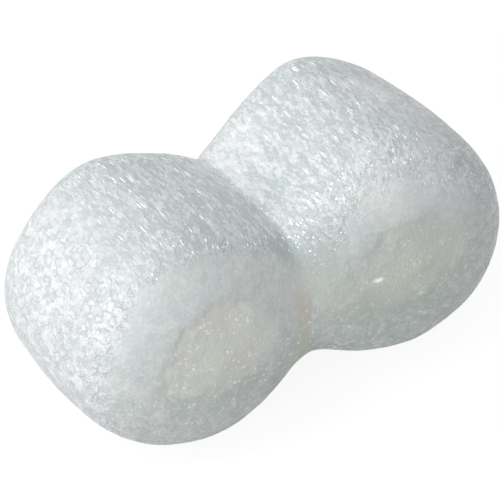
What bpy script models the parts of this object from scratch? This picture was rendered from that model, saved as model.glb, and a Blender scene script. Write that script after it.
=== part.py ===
"""A loose-fill packing peanut: one piece of light foam with two round lobes.

Metres, +Z up. The two lobes lie side by side along X. The foam was extruded
along Y and cut to length, so its two cut ends face -Y and +Y. It lies on the
undersides of both lobes at Z = 0, and the origin is the middle of its
footprint there.
"""

import math

import bmesh
import bpy
from mathutils import Vector

# The foam, in metres
LOBE_PITCH = 0.0198  # from the middle of one lobe to the middle of the other
LOBE_WIDTH = 0.0222  # one lobe across, as if it were alone
LOBE_HEIGHT = 0.0215  # one lobe from top to bottom, before its flat spot
CUT_LENGTH = 0.0250  # from one cut end to the other, before its dishes
WAIST_HEIGHT = 0.0126  # from the crease on top to the crease underneath
REST_DEPTH = 0.00015  # how much of each underside is pressed flat

# The shallow dish where the fresh foam sank in the middle of each cut end
DISH_WIDTH = 0.0105  # along X
DISH_HEIGHT = 0.0080  # along Z
DISH_DEPTH = 0.0004  # at its middle
DISH_RAISE = 0.0012  # how far its middle lies above the middle of the lobe

# How full the curves are: 2 is an ellipse, and more is nearer to a box
OUTER_POWER = 1.80  # a lobe's outline on its outer side, seen along Y
WAIST_POWER = 1.55  # and on the side that runs down to the crease
CROWN_POWER = 1.20  # how soon the skin starts to curve towards a cut end
END_POWER = 5.80  # how flat a cut end is

# The cage that carries the form
CAGE_CELL = 0.0030  # the side of one cage face, at most
CREASE_WEIGHT = 1.0  # holds the cage to the bottom of the crease
SMOOTH_LEVELS = 1
SKIN_PULL = 0.5  # how far one level of smoothing draws a vertex to its neighbours
EDGE_PULL = 0.25  # and a vertex on the crease
MERGE_DISTANCE = 0.00001
ALONG_AXIS = 0.99  # the least share of an edge that counts as running along an axis
HALVINGS = 40  # steps in the search for the skin
GROUND_SPREAD = 2.0  # the block that cuts the flat spots, as a share of the foam

# Pearl white foam
FOAM_COLOUR = (0.80, 0.83, 0.83, 1.0)
FOAM_ROUGHNESS = 0.55

LENGTH = LOBE_PITCH + LOBE_WIDTH
MIDDLE_Z = LOBE_HEIGHT / 2 - REST_DEPTH


def waist_reach():
    """How far a lobe would reach past its middle, had it not met the other one.

    It is the reach that makes the two lobes meet at half the waist's height.
    """
    meeting = 1 - (WAIST_HEIGHT / LOBE_HEIGHT) ** WAIST_POWER
    return LOBE_PITCH / 2 / meeting ** (1 / WAIST_POWER)


def foam_field(point):
    """0 on the axis of the nearer lobe, 1 on the skin, and more outside."""
    offset = abs(point.x) - LOBE_PITCH / 2
    reach, power = (LOBE_WIDTH / 2, OUTER_POWER) if offset > 0 else (waist_reach(), WAIST_POWER)
    across = abs(offset) / reach
    upright = abs(point.z) / (LOBE_HEIGHT / 2)
    along = abs(point.y) / (CUT_LENGTH / 2)
    section = (across**power + upright**power) ** (1 / power)
    return section**CROWN_POWER + along**END_POWER


def skin_point(corner):
    """Where a ray from the middle of the waist towards a point leaves the foam."""
    inside, outside = 0.0, 1.0
    for _ in range(HALVINGS):
        halfway = (inside + outside) / 2
        if foam_field(corner * halfway) < 1:
            inside = halfway
        else:
            outside = halfway
    return corner * outside


def dished(point):
    """The same point, sunk if it lies in the dish of a cut end."""
    across = (abs(point.x) - LOBE_PITCH / 2) / (DISH_WIDTH / 2)
    upright = (point.z - DISH_RAISE) / (DISH_HEIGHT / 2)
    nearness = max(0.0, 1 - across**2 - upright**2)
    sunk = DISH_DEPTH * nearness
    return Vector((point.x, point.y - sunk if point.y > 0 else point.y + sunk, point.z))


def edges_along(mesh, axis):
    """The straight edges of a block that run along one axis."""
    return [
        edge
        for edge in mesh.edges
        if abs((edge.verts[1].co - edge.verts[0].co).normalized()[axis]) > ALONG_AXIS
    ]


def swollen(vertex):
    """The vertex moved out by as much as the smoothing will draw it in again.

    One level of smoothing draws a vertex half of the way to the mean of its
    neighbours, or a quarter of the way along an open edge that is held.
    """
    ends = [edge for edge in vertex.link_edges if edge.is_boundary == vertex.is_boundary]
    mean = sum((edge.other_vert(vertex).co for edge in ends), Vector()) / len(ends)
    share = EDGE_PULL if vertex.is_boundary else SKIN_PULL
    return vertex.co + share * (vertex.co - mean)


def half_cage():
    """A block round the lobe at +X, open at the waist and pressed onto the skin."""
    sides = Vector((LENGTH / 2, CUT_LENGTH, LOBE_HEIGHT))
    mesh = bmesh.new()
    bmesh.ops.create_cube(mesh, size=1.0)
    bmesh.ops.translate(mesh, vec=(0.5, 0, 0), verts=mesh.verts)
    bmesh.ops.scale(mesh, vec=sides, verts=mesh.verts)
    waist = min(mesh.faces, key=lambda face: face.calc_center_median().x)
    bmesh.ops.delete(mesh, geom=[waist], context="FACES_ONLY")
    for axis, side in enumerate(sides):
        half_cells = math.ceil(side / 2 / CAGE_CELL)
        bmesh.ops.subdivide_edges(
            mesh, edges=edges_along(mesh, axis), cuts=2 * half_cells - 1, use_grid_fill=True
        )
    crease = mesh.edges.layers.float.new("crease_edge")
    for edge in mesh.edges:
        if edge.is_boundary:
            edge[crease] = CREASE_WEIGHT
            edge.smooth = False
    for vertex in mesh.verts:
        vertex.co = dished(skin_point(vertex.co))
    places = [swollen(vertex) for vertex in mesh.verts]
    for vertex, place in zip(mesh.verts, places):
        vertex.co = place
    return mesh


def foam_material():
    """Plain white foam."""
    material = bpy.data.materials.new("white_foam")
    material.use_nodes = True
    shader = material.node_tree.nodes["Principled BSDF"]
    shader.inputs["Base Color"].default_value = FOAM_COLOUR
    shader.inputs["Roughness"].default_value = FOAM_ROUGHNESS
    shader.inputs["Metallic"].default_value = 0.0
    return material


def new_object(name, bmesh_data, collection):
    """Puts a finished bmesh into an object of its own."""
    data = bpy.data.meshes.new(name)
    bmesh_data.to_mesh(data)
    bmesh_data.free()
    made = bpy.data.objects.new(name, data)
    collection.objects.link(made)
    return made


def ground_cutter(collection):
    """A block with its top at Z = 0. It presses the undersides flat."""
    sides = Vector((LENGTH, CUT_LENGTH, LOBE_HEIGHT)) * GROUND_SPREAD
    mesh = bmesh.new()
    bmesh.ops.create_cube(mesh, size=1.0)
    bmesh.ops.translate(mesh, vec=(0, 0, -0.5), verts=mesh.verts)
    bmesh.ops.scale(mesh, vec=sides, verts=mesh.verts)
    cutter = new_object("ground_cutter", mesh, collection)
    cutter.hide_render = True
    cutter.display_type = "WIRE"
    return cutter


def foam_peanut(collection, cutter):
    """The whole foam piece: the half cage, its mirror image, and the flat spots."""
    peanut = new_object("foam_peanut", half_cage(), collection)
    peanut.location = (0, 0, MIDDLE_Z)
    peanut.data.materials.append(foam_material())
    peanut.data.shade_smooth()

    mirror = peanut.modifiers.new("other_lobe", "MIRROR")
    mirror.use_axis = (True, False, False)
    mirror.merge_threshold = MERGE_DISTANCE

    smooth = peanut.modifiers.new("soft_skin", "SUBSURF")
    smooth.levels = SMOOTH_LEVELS
    smooth.render_levels = SMOOTH_LEVELS

    flat = peanut.modifiers.new("flat_spots", "BOOLEAN")
    flat.operation = "DIFFERENCE"
    flat.object = cutter
    return peanut


def clear_scene():
    for old in list(bpy.data.objects):
        bpy.data.objects.remove(old, do_unlink=True)


def new_collection(name):
    collection = bpy.data.collections.new(name)
    bpy.context.scene.collection.children.link(collection)
    return collection


def main():
    clear_scene()
    parts = new_collection("packing_peanut")
    cutters = new_collection("cutters")
    foam_peanut(parts, ground_cutter(cutters))


main()
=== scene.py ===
import math

import bmesh
import bpy
import numpy as np
from mathutils import Matrix, Vector, noise


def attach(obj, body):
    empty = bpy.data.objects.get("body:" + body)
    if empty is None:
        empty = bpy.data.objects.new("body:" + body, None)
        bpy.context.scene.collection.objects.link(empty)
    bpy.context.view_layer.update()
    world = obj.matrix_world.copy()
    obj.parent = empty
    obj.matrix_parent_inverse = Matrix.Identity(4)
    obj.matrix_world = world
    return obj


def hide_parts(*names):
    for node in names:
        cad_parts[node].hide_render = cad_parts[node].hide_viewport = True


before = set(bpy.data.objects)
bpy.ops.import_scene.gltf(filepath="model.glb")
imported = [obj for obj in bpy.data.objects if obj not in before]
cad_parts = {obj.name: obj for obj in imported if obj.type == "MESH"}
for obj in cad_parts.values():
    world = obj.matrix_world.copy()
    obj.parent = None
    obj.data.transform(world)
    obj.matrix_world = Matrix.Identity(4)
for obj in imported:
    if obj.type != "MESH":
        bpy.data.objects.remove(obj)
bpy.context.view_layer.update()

# The foam peanut
# One piece of white expanded foam, extruded along Y as a strand of two lobes that grew together, so that
# a crease runs along the top and the bottom of its waist. It was cut to length while it was still soft,
# and its cut ends sank in a little. Its flat spots are where it lies on the floor.

# The form, in metres
LOBE_PITCH = 0.0198  # from the middle of one lobe to the middle of the other
LOBE_WIDTH = 0.0222  # one lobe across, as if it were alone
LOBE_HEIGHT = 0.0215  # one lobe from top to bottom, before its flat spot
CUT_LENGTH = 0.0250  # from one cut end to the other, before its dishes
WAIST_HEIGHT = 0.0126  # from the crease on top to the crease underneath
REST_DEPTH = 0.00015  # how much of each underside is pressed flat
LENGTH = LOBE_PITCH + LOBE_WIDTH
MIDDLE = Vector((0, 0, LOBE_HEIGHT / 2 - REST_DEPTH))

# How full the curves are: 2 is an ellipse, and more is nearer to a box
OUTER_POWER = 1.80  # a lobe's outline on its outer side, seen along Y
WAIST_POWER = 1.55  # and on the side that runs down to the crease
CROWN_POWER = 1.20  # how soon the skin starts to curve towards a cut end
END_POWER = 5.80  # how flat a cut end is

# The block that is pressed onto the form
BLOCK_CELLS = (182, 108, 94)  # along X, Y and Z
ALONG_AXIS = 0.99  # the least share of an edge that counts as running along an axis
HALVINGS = 34  # steps in the search for the skin
SEARCH_END = 1.05  # where that search ends, as a share of the way out to the block

# The crease is sharp along the top, and fills up underneath and towards the front cut end
CREASE_SHARP = 0.00012  # how round its bottom is along the top
CREASE_BELOW = 0.0008  # how much it fills up underneath
CREASE_FRONT = 0.0018  # and how much at the front cut end
FRONT_START = 0.22  # where that starts underneath, as a share of the length, from the middle
FRONT_LATER = 0.06  # and how much later it starts on top

# The dishes in the cut ends: the middle along X and up from the lobe's middle, half the width and height,
# and how sharp the upper left edge is, from 0 to 1
DISHES = ((-0.0097, 0.0013, 0.0053, 0.0039, 1.0), (0.0090, 0.0011, 0.0060, 0.0037, 0.0))
DISH_DEPTH = 0.0004
DISH_LIP = 0.00012  # how deep the step is along a dish's upper left edge
LIP_WIDTH = 0.12  # how wide that step is, as a share of the dish's half width
DISH_START = 0.0085  # how far from the middle of the strand a cut end begins
DISH_FULL = 0.0105  # and from where on a dish is as deep as it gets
UNEVEN_RIM = ((0.0034, 0.16), (0.0012, 0.10))  # the sizes of a rim's bulges, and their reach as a share
SOFT_RIM = (0.55, 1.20)  # between which shares of a dish's reach its beige fades out
CRISP_RIM = (-0.03, 0.05)  # the same inside its rim, where the upper left edge is sharp


def eased(value, start, end):
    """0 up to the start, 1 from the end, and a smooth rise between them."""
    share = np.clip((value - start) / (end - start), 0, 1)
    return share * share * (3 - 2 * share)


def foam_field(x, y, z):
    """0 on the axis of the nearer lobe, 1 on the skin, and more outside."""
    below = CREASE_BELOW * eased(-z, 0, WAIST_HEIGHT / 2)
    start = FRONT_START + FRONT_LATER * eased(z, 0, WAIST_HEIGHT / 4)
    front = CREASE_FRONT * eased(-y, CUT_LENGTH * start, CUT_LENGTH * 0.5)
    fill = CREASE_SHARP + below + front
    offset = np.sqrt(x * x + fill * fill) - LOBE_PITCH / 2
    meeting = 1 - (WAIST_HEIGHT / LOBE_HEIGHT) ** WAIST_POWER
    waist_reach = LOBE_PITCH / 2 / meeting ** (1 / WAIST_POWER)
    reach = np.where(offset > 0, LOBE_WIDTH / 2, waist_reach)
    power = np.where(offset > 0, OUTER_POWER, WAIST_POWER)
    upright = np.abs(z) / (LOBE_HEIGHT / 2)
    along = np.abs(y) / (CUT_LENGTH / 2)
    section = ((np.abs(offset) / reach) ** power + upright**power) ** (1 / power)
    return section**CROWN_POWER + along**END_POWER


def pressed(corners):
    """Where rays from the middle of the waist to the corners leave the foam."""
    inside = np.zeros(len(corners))
    outside = np.full(len(corners), SEARCH_END)
    for _ in range(HALVINGS):
        halfway = (inside + outside) / 2
        within = foam_field(*(corners * halfway[:, None]).T) < 1
        inside = np.where(within, halfway, inside)
        outside = np.where(within, outside, halfway)
    return corners * outside[:, None]


def dish_reach(place, dish):
    """0 in the middle of a dish and 1 on its uneven rim, and how far it lies to the upper left."""
    middle, raised, half_width, half_height, _ = dish
    across = (place[0] - middle) / half_width
    upright = (place[2] - raised) / half_height
    bulge = sum(share * noise.noise(Vector(place) / size) for size, share in UNEVEN_RIM)
    return math.hypot(across, upright) + bulge, upright - across


def dished(places):
    """The places with the cut ends sunk in their middles, and how beige each of them is."""
    sunk_places = places.copy()
    spots = np.zeros(len(places))
    for number in np.nonzero(np.abs(places[:, 1]) > DISH_START)[0]:
        place = places[number]
        fade = eased(abs(place[1]), DISH_START, DISH_FULL)
        for dish in DISHES:
            reach, upper_left = dish_reach(place, dish)
            sharp = dish[-1] * eased(upper_left, -0.6, 0.6)
            lip = eased(1 - reach, 0, LIP_WIDTH) * sharp
            depth = DISH_DEPTH * max(0.0, 1 - reach**2) + DISH_LIP * lip
            sunk_places[number, 1] -= math.copysign(depth * fade, place[1])
            soft = 1 - eased(reach, *SOFT_RIM)
            crisp = eased(1 - reach, *CRISP_RIM)
            spots[number] += fade * (soft + (crisp - soft) * sharp)
    return sunk_places, spots


block = bmesh.new()
bmesh.ops.create_cube(block, size=1.0)
bmesh.ops.scale(block, vec=(LENGTH, CUT_LENGTH, LOBE_HEIGHT), verts=block.verts)
for axis, cells in enumerate(BLOCK_CELLS):
    lengthwise = [
        edge
        for edge in block.edges
        if abs((edge.verts[1].co - edge.verts[0].co).normalized()[axis]) > ALONG_AXIS
    ]
    bmesh.ops.subdivide_edges(block, edges=lengthwise, cuts=cells - 1, use_grid_fill=True)
corners = np.array([vertex.co for vertex in block.verts])
places, dish_spots = dished(pressed(corners))
for vertex, place in zip(block.verts, places):
    vertex.co = place
bmesh.ops.translate(block, vec=MIDDLE, verts=block.verts)
block.normal_update()

# No two lobes swell quite alike. Each line is a place on the foam, from its middle, how far the swelling
# spreads round it, and how high it is, in millimetres. Where it is below 0 the foam has shrunk.
SWELLINGS = (
    (-15.6, 8.8, 6.9, 2.6, -0.26),
    (-4.0, 8.0, 8.0, 2.2, -0.12),
    (2.6, 8.9, 6.2, 2.2, -0.34),
    (11.6, 8.5, 10.3, 2.6, 0.54),
    (18.3, 5.6, 5.7, 2.2, -0.38),
    (20.0, -7.8, 0.4, 2.2, -0.25),
    (16.4, -9.1, -6.8, 3.2, 0.38),
    (-1.3, -9.1, -5.6, 2.2, -0.42),
    (-10.8, -8.9, -9.2, 2.4, -0.20),
    (-20.5, -1.2, -3.5, 3.2, 0.38),
    (-20.3, 7.4, -0.4, 2.4, -0.20),
    (-17.6, -7.2, -6.8, 2.4, 0.10),
)

# Where the foam is whiter, or greyer, in the same way, as a share of full cover: partly where its white
# film is thick or thin, and partly painted light and painted shade, such as darker beside the crease on
# top and lighter on the shaded end at +X
FILM_AND_PAINTED_LIGHT = (
    (1.9, 4.6, 7.7, 2.4, 0.50),
    (1.9, 1.0, 7.6, 1.4, 0.14),
    (12.6, -9.7, 7.6, 2.4, 0.44),
    (8.6, -10.0, 8.0, 1.8, 0.24),
    (15.5, -10.5, 4.6, 1.8, 0.22),
    (13.7, 0.9, 9.9, 1.8, 0.34),
    (18.4, -2.0, 6.6, 1.4, -0.20),
    (1.2, -9.4, 5.2, 1.3, -0.36),
    (-0.6, -8.6, 6.0, 1.2, -0.30),
    (1.5, -10.8, 2.4, 1.6, -0.30),
    (6.8, -12.0, 1.6, 2.6, -0.30),
    (6.2, -9.9, 7.6, 2.0, 0.20),
    (-2.6, -6.8, 8.2, 2.2, 0.12),
    (19.6, -4.0, 4.8, 1.8, -0.34),
    (21.0, 2.0, -1.0, 4.5, 0.22),
    (4.6, -11.1, -3.9, 3.0, -0.16),
    (10.5, -11.5, -3.5, 2.6, -0.14),
    (-17.0, 2.6, 7.6, 3.2, 0.24),
    (-11.7, -4.1, 10.5, 1.5, -0.24),
    (-17.1, -8.2, 6.5, 2.0, 0.14),
    (-1.6, -10.1, -5.0, 1.6, -0.30),
    (-11.5, -12.0, -0.2, 2.2, -0.24),
    (-4.8, -10.4, -6.1, 1.0, -0.32),
    (17.8, -6.6, 6.6, 1.3, -0.36),
)
MILLIMETRE = 0.001


def bumps(places, table):
    """At each place, the sum of a table's soft bumps."""
    total = np.zeros(len(places))
    for *middle, spread, height in table:
        away = np.linalg.norm(places / MILLIMETRE - middle, axis=1)
        total += height * np.exp(-((away / spread) ** 2) / 2)
    return total


# The relief of the skin: for each kind its size, how far it is drawn out along Y, and its height on the
# skin and on the cut ends
RELIEF = (
    (0.0090, 1.0, 0.00016, 0.00012),
    (0.0026, 1.3, 0.00005, 0.00003),
    (0.0011, 1.8, 0.00003, 0.00001),
)
moves = []
for vertex, move in zip(block.verts, MILLIMETRE * bumps(places, SWELLINGS)):
    place = vertex.co - MIDDLE
    cut = min(1.0, (abs(place.y) / (CUT_LENGTH / 2)) ** END_POWER)
    for size, drawn, on_skin, on_cut in RELIEF:
        pattern = Vector((place.x / size, place.y / size / drawn, place.z / size))
        move += (on_skin + (on_cut - on_skin) * cut) * noise.noise(pattern)
    moves.append(vertex.normal * move)
for vertex, move in zip(block.verts, moves):
    vertex.co += move
    vertex.co.z = max(0.0, vertex.co.z)

mesh = bpy.data.meshes.new("peanut_foam")
block.to_mesh(mesh)
block.free()
mesh.shade_smooth()
mesh.attributes.new("dish", "FLOAT", "POINT").data.foreach_set("value", dish_spots)
# Lighter and darker patches: partly thick or thin film, and partly painted light and painted shade
film_and_painted_light = bumps(places, FILM_AND_PAINTED_LIGHT)
mesh.attributes.new("film_and_painted_light", "FLOAT", "POINT").data.foreach_set("value", film_and_painted_light)
peanut = bpy.data.objects.new("peanut_foam", mesh)
bpy.context.scene.collection.objects.link(peanut)


class Socket:
    """An output of a node. Python's operators on it add Math nodes."""

    def __init__(self, tree, socket):
        self.tree = tree
        self.socket = socket

    def node(self, kind, settings, values, output=0):
        """Adds a node: first its settings, then its sockets' values or links."""
        made = self.tree.nodes.new(kind)
        for name, setting in settings.items():
            setattr(made, name, setting)
        for name, value in values.items():
            if isinstance(value, Socket):
                self.tree.links.new(value.socket, made.inputs[name])
            else:
                made.inputs[name].default_value = value
        return Socket(self.tree, made.outputs[output])

    def math(self, operation, *values):
        return self.node("ShaderNodeMath", {"operation": operation}, dict(enumerate(values)))

    def __add__(self, other):
        return self.math("ADD", self, other)

    def __radd__(self, other):
        return self.math("ADD", other, self)

    def __sub__(self, other):
        return self.math("SUBTRACT", self, other)

    def __rsub__(self, other):
        return self.math("SUBTRACT", other, self)

    def __mul__(self, other):
        return self.math("MULTIPLY", self, other)

    def __rmul__(self, other):
        return self.math("MULTIPLY", other, self)

    def __truediv__(self, other):
        return self.math("DIVIDE", self, other)

    def __pow__(self, other):
        return self.math("POWER", self, other)

    def __abs__(self):
        return self.math("ABSOLUTE", self)

    def step(self, start, end):
        """0 up to the start, 1 from the end, and a smooth rise between them."""
        settings = {"interpolation_type": "SMOOTHSTEP"}
        values = {"Value": self, "From Min": start, "From Max": end}
        return self.node("ShaderNodeMapRange", settings, values)

    def bell(self, middle, width):
        """1 at the middle, and nearly 0 from the width on."""
        return 1 - abs(self - middle).step(0.0, width)

    def stretched(self, size, drawn=1.0):
        """A place, in units of a pattern's size, drawn out along Y."""
        scale = (1 / size, 1 / size / drawn, 1 / size)
        return self.node("ShaderNodeVectorMath", {"operation": "MULTIPLY"}, {0: self, 1: scale})

    def shifted(self, far, size):
        """A place, shifted at random by up to about that far, so that patterns there run less evenly."""
        values = {"Vector": self.stretched(size), "Scale": 1.0, "Detail": 1.0}
        push = self.node("ShaderNodeTexNoise", {}, values, "Color")
        push = self.node("ShaderNodeVectorMath", {"operation": "SUBTRACT"}, {0: push, 1: (0.5, 0.5, 0.5)})
        push = self.node("ShaderNodeVectorMath", {"operation": "SCALE"}, {0: push, "Scale": 4 * far})
        return self.node("ShaderNodeVectorMath", {"operation": "ADD"}, {0: self, 1: push})

    def clouds(self, size, drawn=1.0, detail=2.0, rough=0.5):
        """Soft noise between 0 and 1, mostly near a half."""
        place = self.stretched(size, drawn)
        values = {"Vector": place, "Scale": 1.0, "Detail": detail, "Roughness": rough}
        return self.node("ShaderNodeTexNoise", {}, values)

    def cells(self, size, drawn=1.0, feature="F1", output="Distance"):
        """A pattern of cells: 0 at their middles, or a chance of its own for each as its colour."""
        values = {"Vector": self.stretched(size, drawn), "Scale": 1.0}
        return self.node("ShaderNodeTexVoronoi", {"feature": feature}, values, output)

    def mixed(self, colour, other):
        """The first colour where this is 0, and the other one where it is 1."""
        values = {"Factor": self, 6: colour, 7: other}
        return self.node("ShaderNodeMix", {"data_type": "RGBA"}, values, 2)


# Its skin is a thin film of burst and drawn-out cells, pearly and slightly blue, with glossy marks that
# run along the strand, whose white is partly a painted glint. The cut ends have finer cells, which are
# dull, and the older foam in the middle of each lobe has turned a little beige.

FOAM_BLUE = (0.575, 0.637, 0.650, 1.0)  # the bare foam on the skin
FOAM_GREEN = (0.580, 0.648, 0.606, 1.0)  # in faint clouds, and on the cut ends, most of all low down
FOAM_PALE = (0.640, 0.675, 0.690, 1.0)  # under the crumpled film on the outer sides
FILM_WHITE = (0.952, 0.970, 0.977, 1.0)
# the white of the marks and of the scrap, which on the marks is a painted glint
MARK_AND_PAINTED_GLINT_WHITE = (0.980, 0.990, 0.990, 1.0)
AGED_LIGHT = (0.890, 0.885, 0.820, 1.0)  # the beige of the lobe at -X
AGED_DARK = (0.800, 0.795, 0.720, 1.0)  # and of the lobe at +X
# the brown of the neck, which is also painted shade in the valley between the lobes
NECK_BROWN_AND_SHADE = (0.700, 0.660, 0.545, 1.0)

# The white film: the size of its spots, and how much of the whiteness they give
LONG_SPOTS = ((0.00022, 0.38), (0.00040, 0.32), (0.00080, 0.15), (0.00180, 0.08))
ROUND_SPOTS = ((0.00030, 0.38), (0.00075, 0.42), (0.00190, 0.24))
MEAN_FILM = 0.45  # the film's whiteness on average

SKIN_END = 0.0092  # how far from the middle of the strand the skin ends
SKIN_FURTHER = 0.0010  # and how much further it reaches on the lobe at +X
SKIN_UNEVEN = 0.0020  # how much its border wanders

# The sizes of the cells that the film is made of
STROKE_SIZE = 0.00032
FINE_CREASE_SIZE = 0.00046
SCALE_SIZE = 0.00060

# The glossy marks and specks, which are also painted white as glints
CROWD_SIZE = 0.0024
LONG_MARK_SIZE = 0.00042
DOT_SIZE = 0.00028
SPECK_SIZE = 0.00052

BUMP_DEPTH = 0.00010  # how deep the film's own relief looks

SCRAP_X = 0.0059  # the middle of a scrap of film, along X
SCRAP_Z = 0.0006  # and up from the middle of the lobe
SCRAP_HALF_LENGTH = 0.00056
SCRAP_HALF_HEIGHT = 0.00026

foam = bpy.data.materials.new("foam")
foam.use_nodes = True
shader = foam.node_tree.nodes["Principled BSDF"]
tree = foam.node_tree
place = Socket(tree, tree.nodes.new("ShaderNodeTexCoord").outputs["Object"])
x = place.node("ShaderNodeSeparateXYZ", {}, {"Vector": place}, 0)
y = place.node("ShaderNodeSeparateXYZ", {}, {"Vector": place}, 1)
z = place.node("ShaderNodeSeparateXYZ", {}, {"Vector": place}, 2) - MIDDLE.z

# 1 on the skin and 0 on the cut ends. The skin reaches further round the edge of the lobe at +X.
border = SKIN_END + SKIN_FURTHER * x.step(-0.003, 0.003)
edge = abs(y) - border + SKIN_UNEVEN * (place.clouds(0.0016) - 0.5)
skin = 1 - edge.step(-0.0006, 0.0008)


def film(place, kinds, drawn, bare):
    """How white the film is, in spots of several sizes. The higher bare is, the fewer there are."""
    white = 0
    for size, share in kinds:
        spots = place.clouds(size, drawn, detail=2.0, rough=0.6)
        white = share * spots.step(bare, bare + 0.24) + white
    return white


def marks(place, size, drawn, width, least):
    """Short bright marks along Y, in the middle of those cells whose chance is above the least."""
    near = place.cells(size, drawn)
    chance = place.cells(size, drawn, output="Color")
    return (1 - near.step(0.50 * width, width)) * chance.step(least, least + 0.06)


# The beige middles of the cut ends, and a little of it in front on both sides of the neck, where it is
# also painted shade that makes the front beside the neck darker
beige = place.node("ShaderNodeAttribute", {"attribute_name": "dish"}, {}, "Fac")
neck_beige_and_shade = 0.55 * x.bell(0.0015, 0.0065) * z.bell(0.0010, 0.0050) * (1 - y.step(-0.0105, -0.0094))
beige = beige.math("MAXIMUM", beige, neck_beige_and_shade)

# The same patches: partly thick or thin film, and partly painted light and painted shade
film_and_painted_light = place.node("ShaderNodeAttribute", {"attribute_name": "film_and_painted_light"}, {}, "Fac")
right_lobe = x.step(0.0, 0.002)  # 1 on the lobe at +X

# The film is drawn out along Y in fine strokes with dark creases between them. On the outer sides of the
# lobes and on the cut ends its spots are rounder.
shift = place.shifted(0.00010, 0.0005)
side = abs(x).step(0.0120, 0.0170)
side = side.math("MAXIMUM", side, 1 - skin)
strokes = shift.cells(STROKE_SIZE, drawn=3.4, output="Color") - 0.5
creases = shift.cells(FINE_CREASE_SIZE, drawn=3.2, feature="DISTANCE_TO_EDGE")
creases = 1 - creases.step(0.0, 0.12)
long_film = film(shift, LONG_SPOTS, 3.6, 0.46) * 0.95 + 0.23 + 0.80 * strokes - 0.24 * creases
round_film = film(shift, ROUND_SPOTS, 1.15, 0.41)
white = long_film + side * (round_film - long_film)

# On the outer sides it is crumpled into small scales
crumpled = side * skin * (1 - 0.4 * right_lobe)
scales = shift.cells(SCALE_SIZE, drawn=1.4, output="Color") - 0.5
folds = 1 - shift.cells(SCALE_SIZE, drawn=1.4, feature="DISTANCE_TO_EDGE").step(0.0, 0.10)
folds = folds * place.clouds(0.0008, detail=1.0).step(0.40, 0.54)
white = white + crumpled * (0.62 * scales - 0.50 * folds)

# A painted highlight along the crease on top, on the side of the lobe at +X: whiter film and more glint
# marks
crease_highlight = x.step(0.0001, 0.0004) * (1 - x.step(0.0005, 0.0013))
crease_highlight = crease_highlight * z.step(0.0050, 0.0060) * y.step(-0.0080, -0.0070)
white = white + 0.25 * crease_highlight

# Glossy marks, in crowds, painted white as glints: long ones and dots on the skin, and round specks on
# the lower part of the cut ends and in their beige middles
crowds = place.clouds(CROWD_SIZE, drawn=1.6, detail=1.0).step(0.42, 0.60)
crowds = crowds.math("MAXIMUM", crowds, crease_highlight)
low = (0 - z).step(-0.0035, 0.0025)  # 1 on the lower half, and 0 near the top
least = 0.65 - 0.27 * crowds
specked = low.math("MAXIMUM", low, beige) * (1 - skin)
long_least = least - 0.08 - 0.08 * right_lobe
long_marks = marks(place, LONG_MARK_SIZE, 8.0, 0.25, long_least) * (1 - side)
dot_least = least + 0.06 - 0.14 * right_lobe * skin - 0.10 * specked
dots = marks(place, DOT_SIZE, 3.0, 0.26, dot_least)
flecks_and_painted_glints = long_marks.math("MAXIMUM", long_marks, 0.7 * dots)
flecks_and_painted_glints = flecks_and_painted_glints * (0.30 + 0.70 * skin)
specks = marks(place.shifted(0.00012, 0.0003), SPECK_SIZE, 1.0, 0.32, 0.60 - 0.20 * crowds)
flecks_and_painted_glints = flecks_and_painted_glints.math("MAXIMUM", flecks_and_painted_glints, (0.45 - 0.16 * right_lobe) * specks * specked)

# Thin arcs of film on the cut ends
arcs = 1 - abs(place.clouds(0.0017, detail=1.0) - 0.5).step(0.0, 0.030)
arcs = arcs * place.clouds(0.0009, detail=1.0).step(0.48, 0.60) * specked
white = white + 0.40 * arcs

# One bigger scrap of film on the front of the lobe at +X
across = (x - SCRAP_X) / SCRAP_HALF_LENGTH
upright = (z - SCRAP_Z + 0.1 * (x - SCRAP_X)) / SCRAP_HALF_HEIGHT
scrap = 1 - ((across * across + upright * upright) ** 0.5).step(0.2, 1.3)
flecks_and_painted_glints = flecks_and_painted_glints.math("MAXIMUM", flecks_and_painted_glints, 0.75 * scrap * (0 - y).step(0.0, 0.001))

# The neck between the lobes is painted a little brown and darker in front, partly as painted shade of the
# valley where
# the lobes meet: a cloudy band beside that line, the fine line itself, and a warm spot
aside = x + 0.0006 - 0.24 * z.math("MAXIMUM", z, -0.0017)  # how far from that line
band = aside.bell(-0.0007, 0.0014) * (1 - z.step(0.0012, 0.0032)) * z.step(-0.0085, -0.0040)
line = aside.bell(0.0, 0.00028) * (1 - z.step(0.0036, 0.0052))
warm = x.bell(-0.0013, 0.0010) * z.bell(0.0014, 0.0020)
neck = band * (0.4 + place.clouds(0.0014)) + 0.6 * line + 0.8 * warm
neck = neck * (1 - y.step(-0.0095, -0.0080))

# All of it together: the bare foam, the film over it with its painted light and shade, the beige, the
# brown with its painted shade, and the marks on top, painted white as glints
contrast = 0.40 + 0.60 * skin + 0.25 * specked
cover = 0.38 + 0.06 * (1 - skin) * (1 - right_lobe) + (white - MEAN_FILM) * contrast + film_and_painted_light
green = place.clouds(0.004).step(0.35, 0.65) * (1 - 0.6 * skin) * (1 - crumpled)
green = green.math("MAXIMUM", green, low.math("MAXIMUM", low, 0.35) * (1 - skin))
colour = crumpled.mixed(FOAM_BLUE, FOAM_PALE)
colour = green.mixed(colour, FOAM_GREEN)
colour = cover.mixed(colour, FILM_WHITE)
aged = right_lobe.mixed(AGED_LIGHT, AGED_DARK)
colour = (beige * (0.72 - 0.25 * white)).mixed(colour, aged)
colour = (0.5 * neck).mixed(colour, NECK_BROWN_AND_SHADE)
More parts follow.
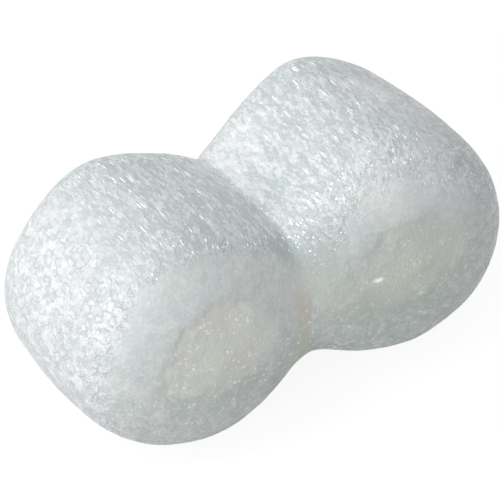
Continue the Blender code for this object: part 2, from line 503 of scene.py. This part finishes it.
# The marks are painted white: painted glints, besides their real gloss from Metallic and Roughness
colour = flecks_and_painted_glints.mixed(colour, MARK_AND_PAINTED_GLINT_WHITE)
height = 0.6 * contrast * white + 0.2 * flecks_and_painted_glints
bump = place.node("ShaderNodeBump", {}, {"Height": height, "Distance": BUMP_DEPTH, "Strength": 1.0})
roughness = 0.50 - 0.12 * white * skin - 0.20 * flecks_and_painted_glints
tree.links.new(colour.socket, shader.inputs["Base Color"])
tree.links.new(roughness.socket, shader.inputs["Roughness"])
tree.links.new(flecks_and_painted_glints.socket, shader.inputs["Metallic"])
tree.links.new(bump.socket, shader.inputs["Normal"])
mesh.materials.append(foam)

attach(peanut, "root")
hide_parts("foam_peanut")

# The floor
# A plain white sheet under the peanut. The camera sees it as white, with the peanut's shadow on it.

FLOOR_SIZE = 1.2
FLOOR_WHITE = (0.48, 0.48, 0.48, 1.0)
FLOOR_GLOW = 1.25  # how bright the white is that the camera sees
SHADOW_SHARE = 0.27  # how much of the shadow it sees

floor_mesh = bpy.data.meshes.new("floor")
floor_grid = bmesh.new()
bmesh.ops.create_grid(floor_grid, x_segments=1, y_segments=1, size=FLOOR_SIZE / 2)
floor_grid.to_mesh(floor_mesh)
floor_grid.free()
floor = bpy.data.objects.new("floor", floor_mesh)
bpy.context.scene.collection.objects.link(floor)


def plainly_seen(tree):
    """1 where the camera looks, also in a glossy surface or through a clear one, and 0 for light."""
    path = tree.nodes.new("ShaderNodeLightPath")
    ray = Socket(tree, path.outputs["Is Camera Ray"])
    glossy = Socket(tree, path.outputs["Is Glossy Ray"])
    clear = Socket(tree, path.outputs["Is Transmission Ray"])
    return ray.math("MINIMUM", ray + glossy + clear, 1.0)


floor_white = bpy.data.materials.new("floor_white")
floor_white.use_nodes = True
paint = floor_white.node_tree.nodes["Principled BSDF"]
paint.inputs["Base Color"].default_value = FLOOR_WHITE
paint.inputs["Roughness"].default_value = 1.0
seen = plainly_seen(floor_white.node_tree)
glow = seen.node("ShaderNodeEmission", {}, {"Strength": FLOOR_GLOW})
lit = Socket(seen.tree, paint.outputs["BSDF"])
both = seen.node("ShaderNodeMixShader", {}, {0: seen * (1 - SHADOW_SHARE), 1: lit, 2: glow})
seen.tree.links.new(both.socket, seen.tree.nodes["Material Output"].inputs["Surface"])
floor_mesh.materials.append(floor_white)

# The light
# Three soft lamps on the left, one high, one halfway up and one low, a small one behind that the skin
# glints in, and an even white room round it all.

LAMP_AWAY = 0.50  # from the middle of the peanut
LAMP_SIZE = 0.16
HIGH_FROM = Vector((-0.50, 0.00, 0.87))
HIGH_POWER = 0.52
SIDE_FROM = Vector((-0.79, 0.15, 0.60))
SIDE_POWER = 0.48
LOW_FROM = Vector((-0.88, -0.38, 0.28))
LOW_POWER = 0.58
GLINT_FROM = Vector((0.20, 0.75, 0.63))
GLINT_SIZE = 0.05
GLINT_POWER = 0.10
ROOM_LEVEL = 0.50  # how bright the room is for the peanut, where the camera sees 1


def lamp(name, towards, size, power):
    """A square lamp that faces the peanut."""
    data = bpy.data.lights.new(name, "AREA")
    data.size = size
    data.energy = power
    made = bpy.data.objects.new(name, data)
    made.location = MIDDLE + towards.normalized() * LAMP_AWAY
    made.rotation_euler = towards.to_track_quat("Z", "Y").to_euler()
    bpy.context.scene.collection.objects.link(made)


lamp("high_lamp", HIGH_FROM, LAMP_SIZE, HIGH_POWER)
lamp("side_lamp", SIDE_FROM, LAMP_SIZE, SIDE_POWER)
lamp("low_lamp", LOW_FROM, LAMP_SIZE, LOW_POWER)
lamp("glint_lamp", GLINT_FROM, GLINT_SIZE, GLINT_POWER)

room = bpy.data.worlds.new("room")
room.use_nodes = True
bpy.context.scene.world = room
background = room.node_tree.nodes["Background"]
level = ROOM_LEVEL + (1 - ROOM_LEVEL) * plainly_seen(room.node_tree)
background.inputs["Color"].default_value = (1, 1, 1, 1)
room.node_tree.links.new(level.socket, background.inputs["Strength"])
bpy.context.scene.view_settings.view_transform = "Standard"

# The camera
# It looks down at the front cut ends from the left, and is rolled a little.

PICTURE = 500  # the width and height of the photograph, in pixels
VIEW_AZIMUTH = math.radians(-22.79)
VIEW_ELEVATION = math.radians(36.69)
VIEW_ROLL = math.radians(-11.52)
VIEW_DISTANCE = 0.3700
VIEW_WIDTH = 0.04304  # what the picture takes in at the peanut's middle
VIEW_MIDDLE = Vector((251.87, 250.31))  # the pixel that the middle of the peanut falls on
SENSOR = 36.0  # the width of the camera's sensor, in millimetres
NEAREST = 0.01  # the least distance that the camera draws

back = Vector((
    math.sin(VIEW_AZIMUTH) * math.cos(VIEW_ELEVATION),
    -math.cos(VIEW_AZIMUTH) * math.cos(VIEW_ELEVATION),
    math.sin(VIEW_ELEVATION),
))
right = Vector((math.cos(VIEW_AZIMUTH), math.sin(VIEW_AZIMUTH), 0))
up = back.cross(right)
turned_right = right * math.cos(VIEW_ROLL) + up * math.sin(VIEW_ROLL)
turned_up = up * math.cos(VIEW_ROLL) - right * math.sin(VIEW_ROLL)
camera_data = bpy.data.cameras.new("camera")
camera_data.sensor_width = SENSOR
camera_data.lens = SENSOR * VIEW_DISTANCE / VIEW_WIDTH
camera_data.shift_x = -(VIEW_MIDDLE.x - PICTURE / 2) / PICTURE
camera_data.shift_y = (VIEW_MIDDLE.y - PICTURE / 2) / PICTURE
camera_data.clip_start = NEAREST
camera = bpy.data.objects.new("camera", camera_data)
axes = Matrix((turned_right, turned_up, back)).transposed()
camera.matrix_world = Matrix.Translation(MIDDLE + back * VIEW_DISTANCE) @ axes.to_4x4()
bpy.context.scene.collection.objects.link(camera)
bpy.context.scene.camera = camera
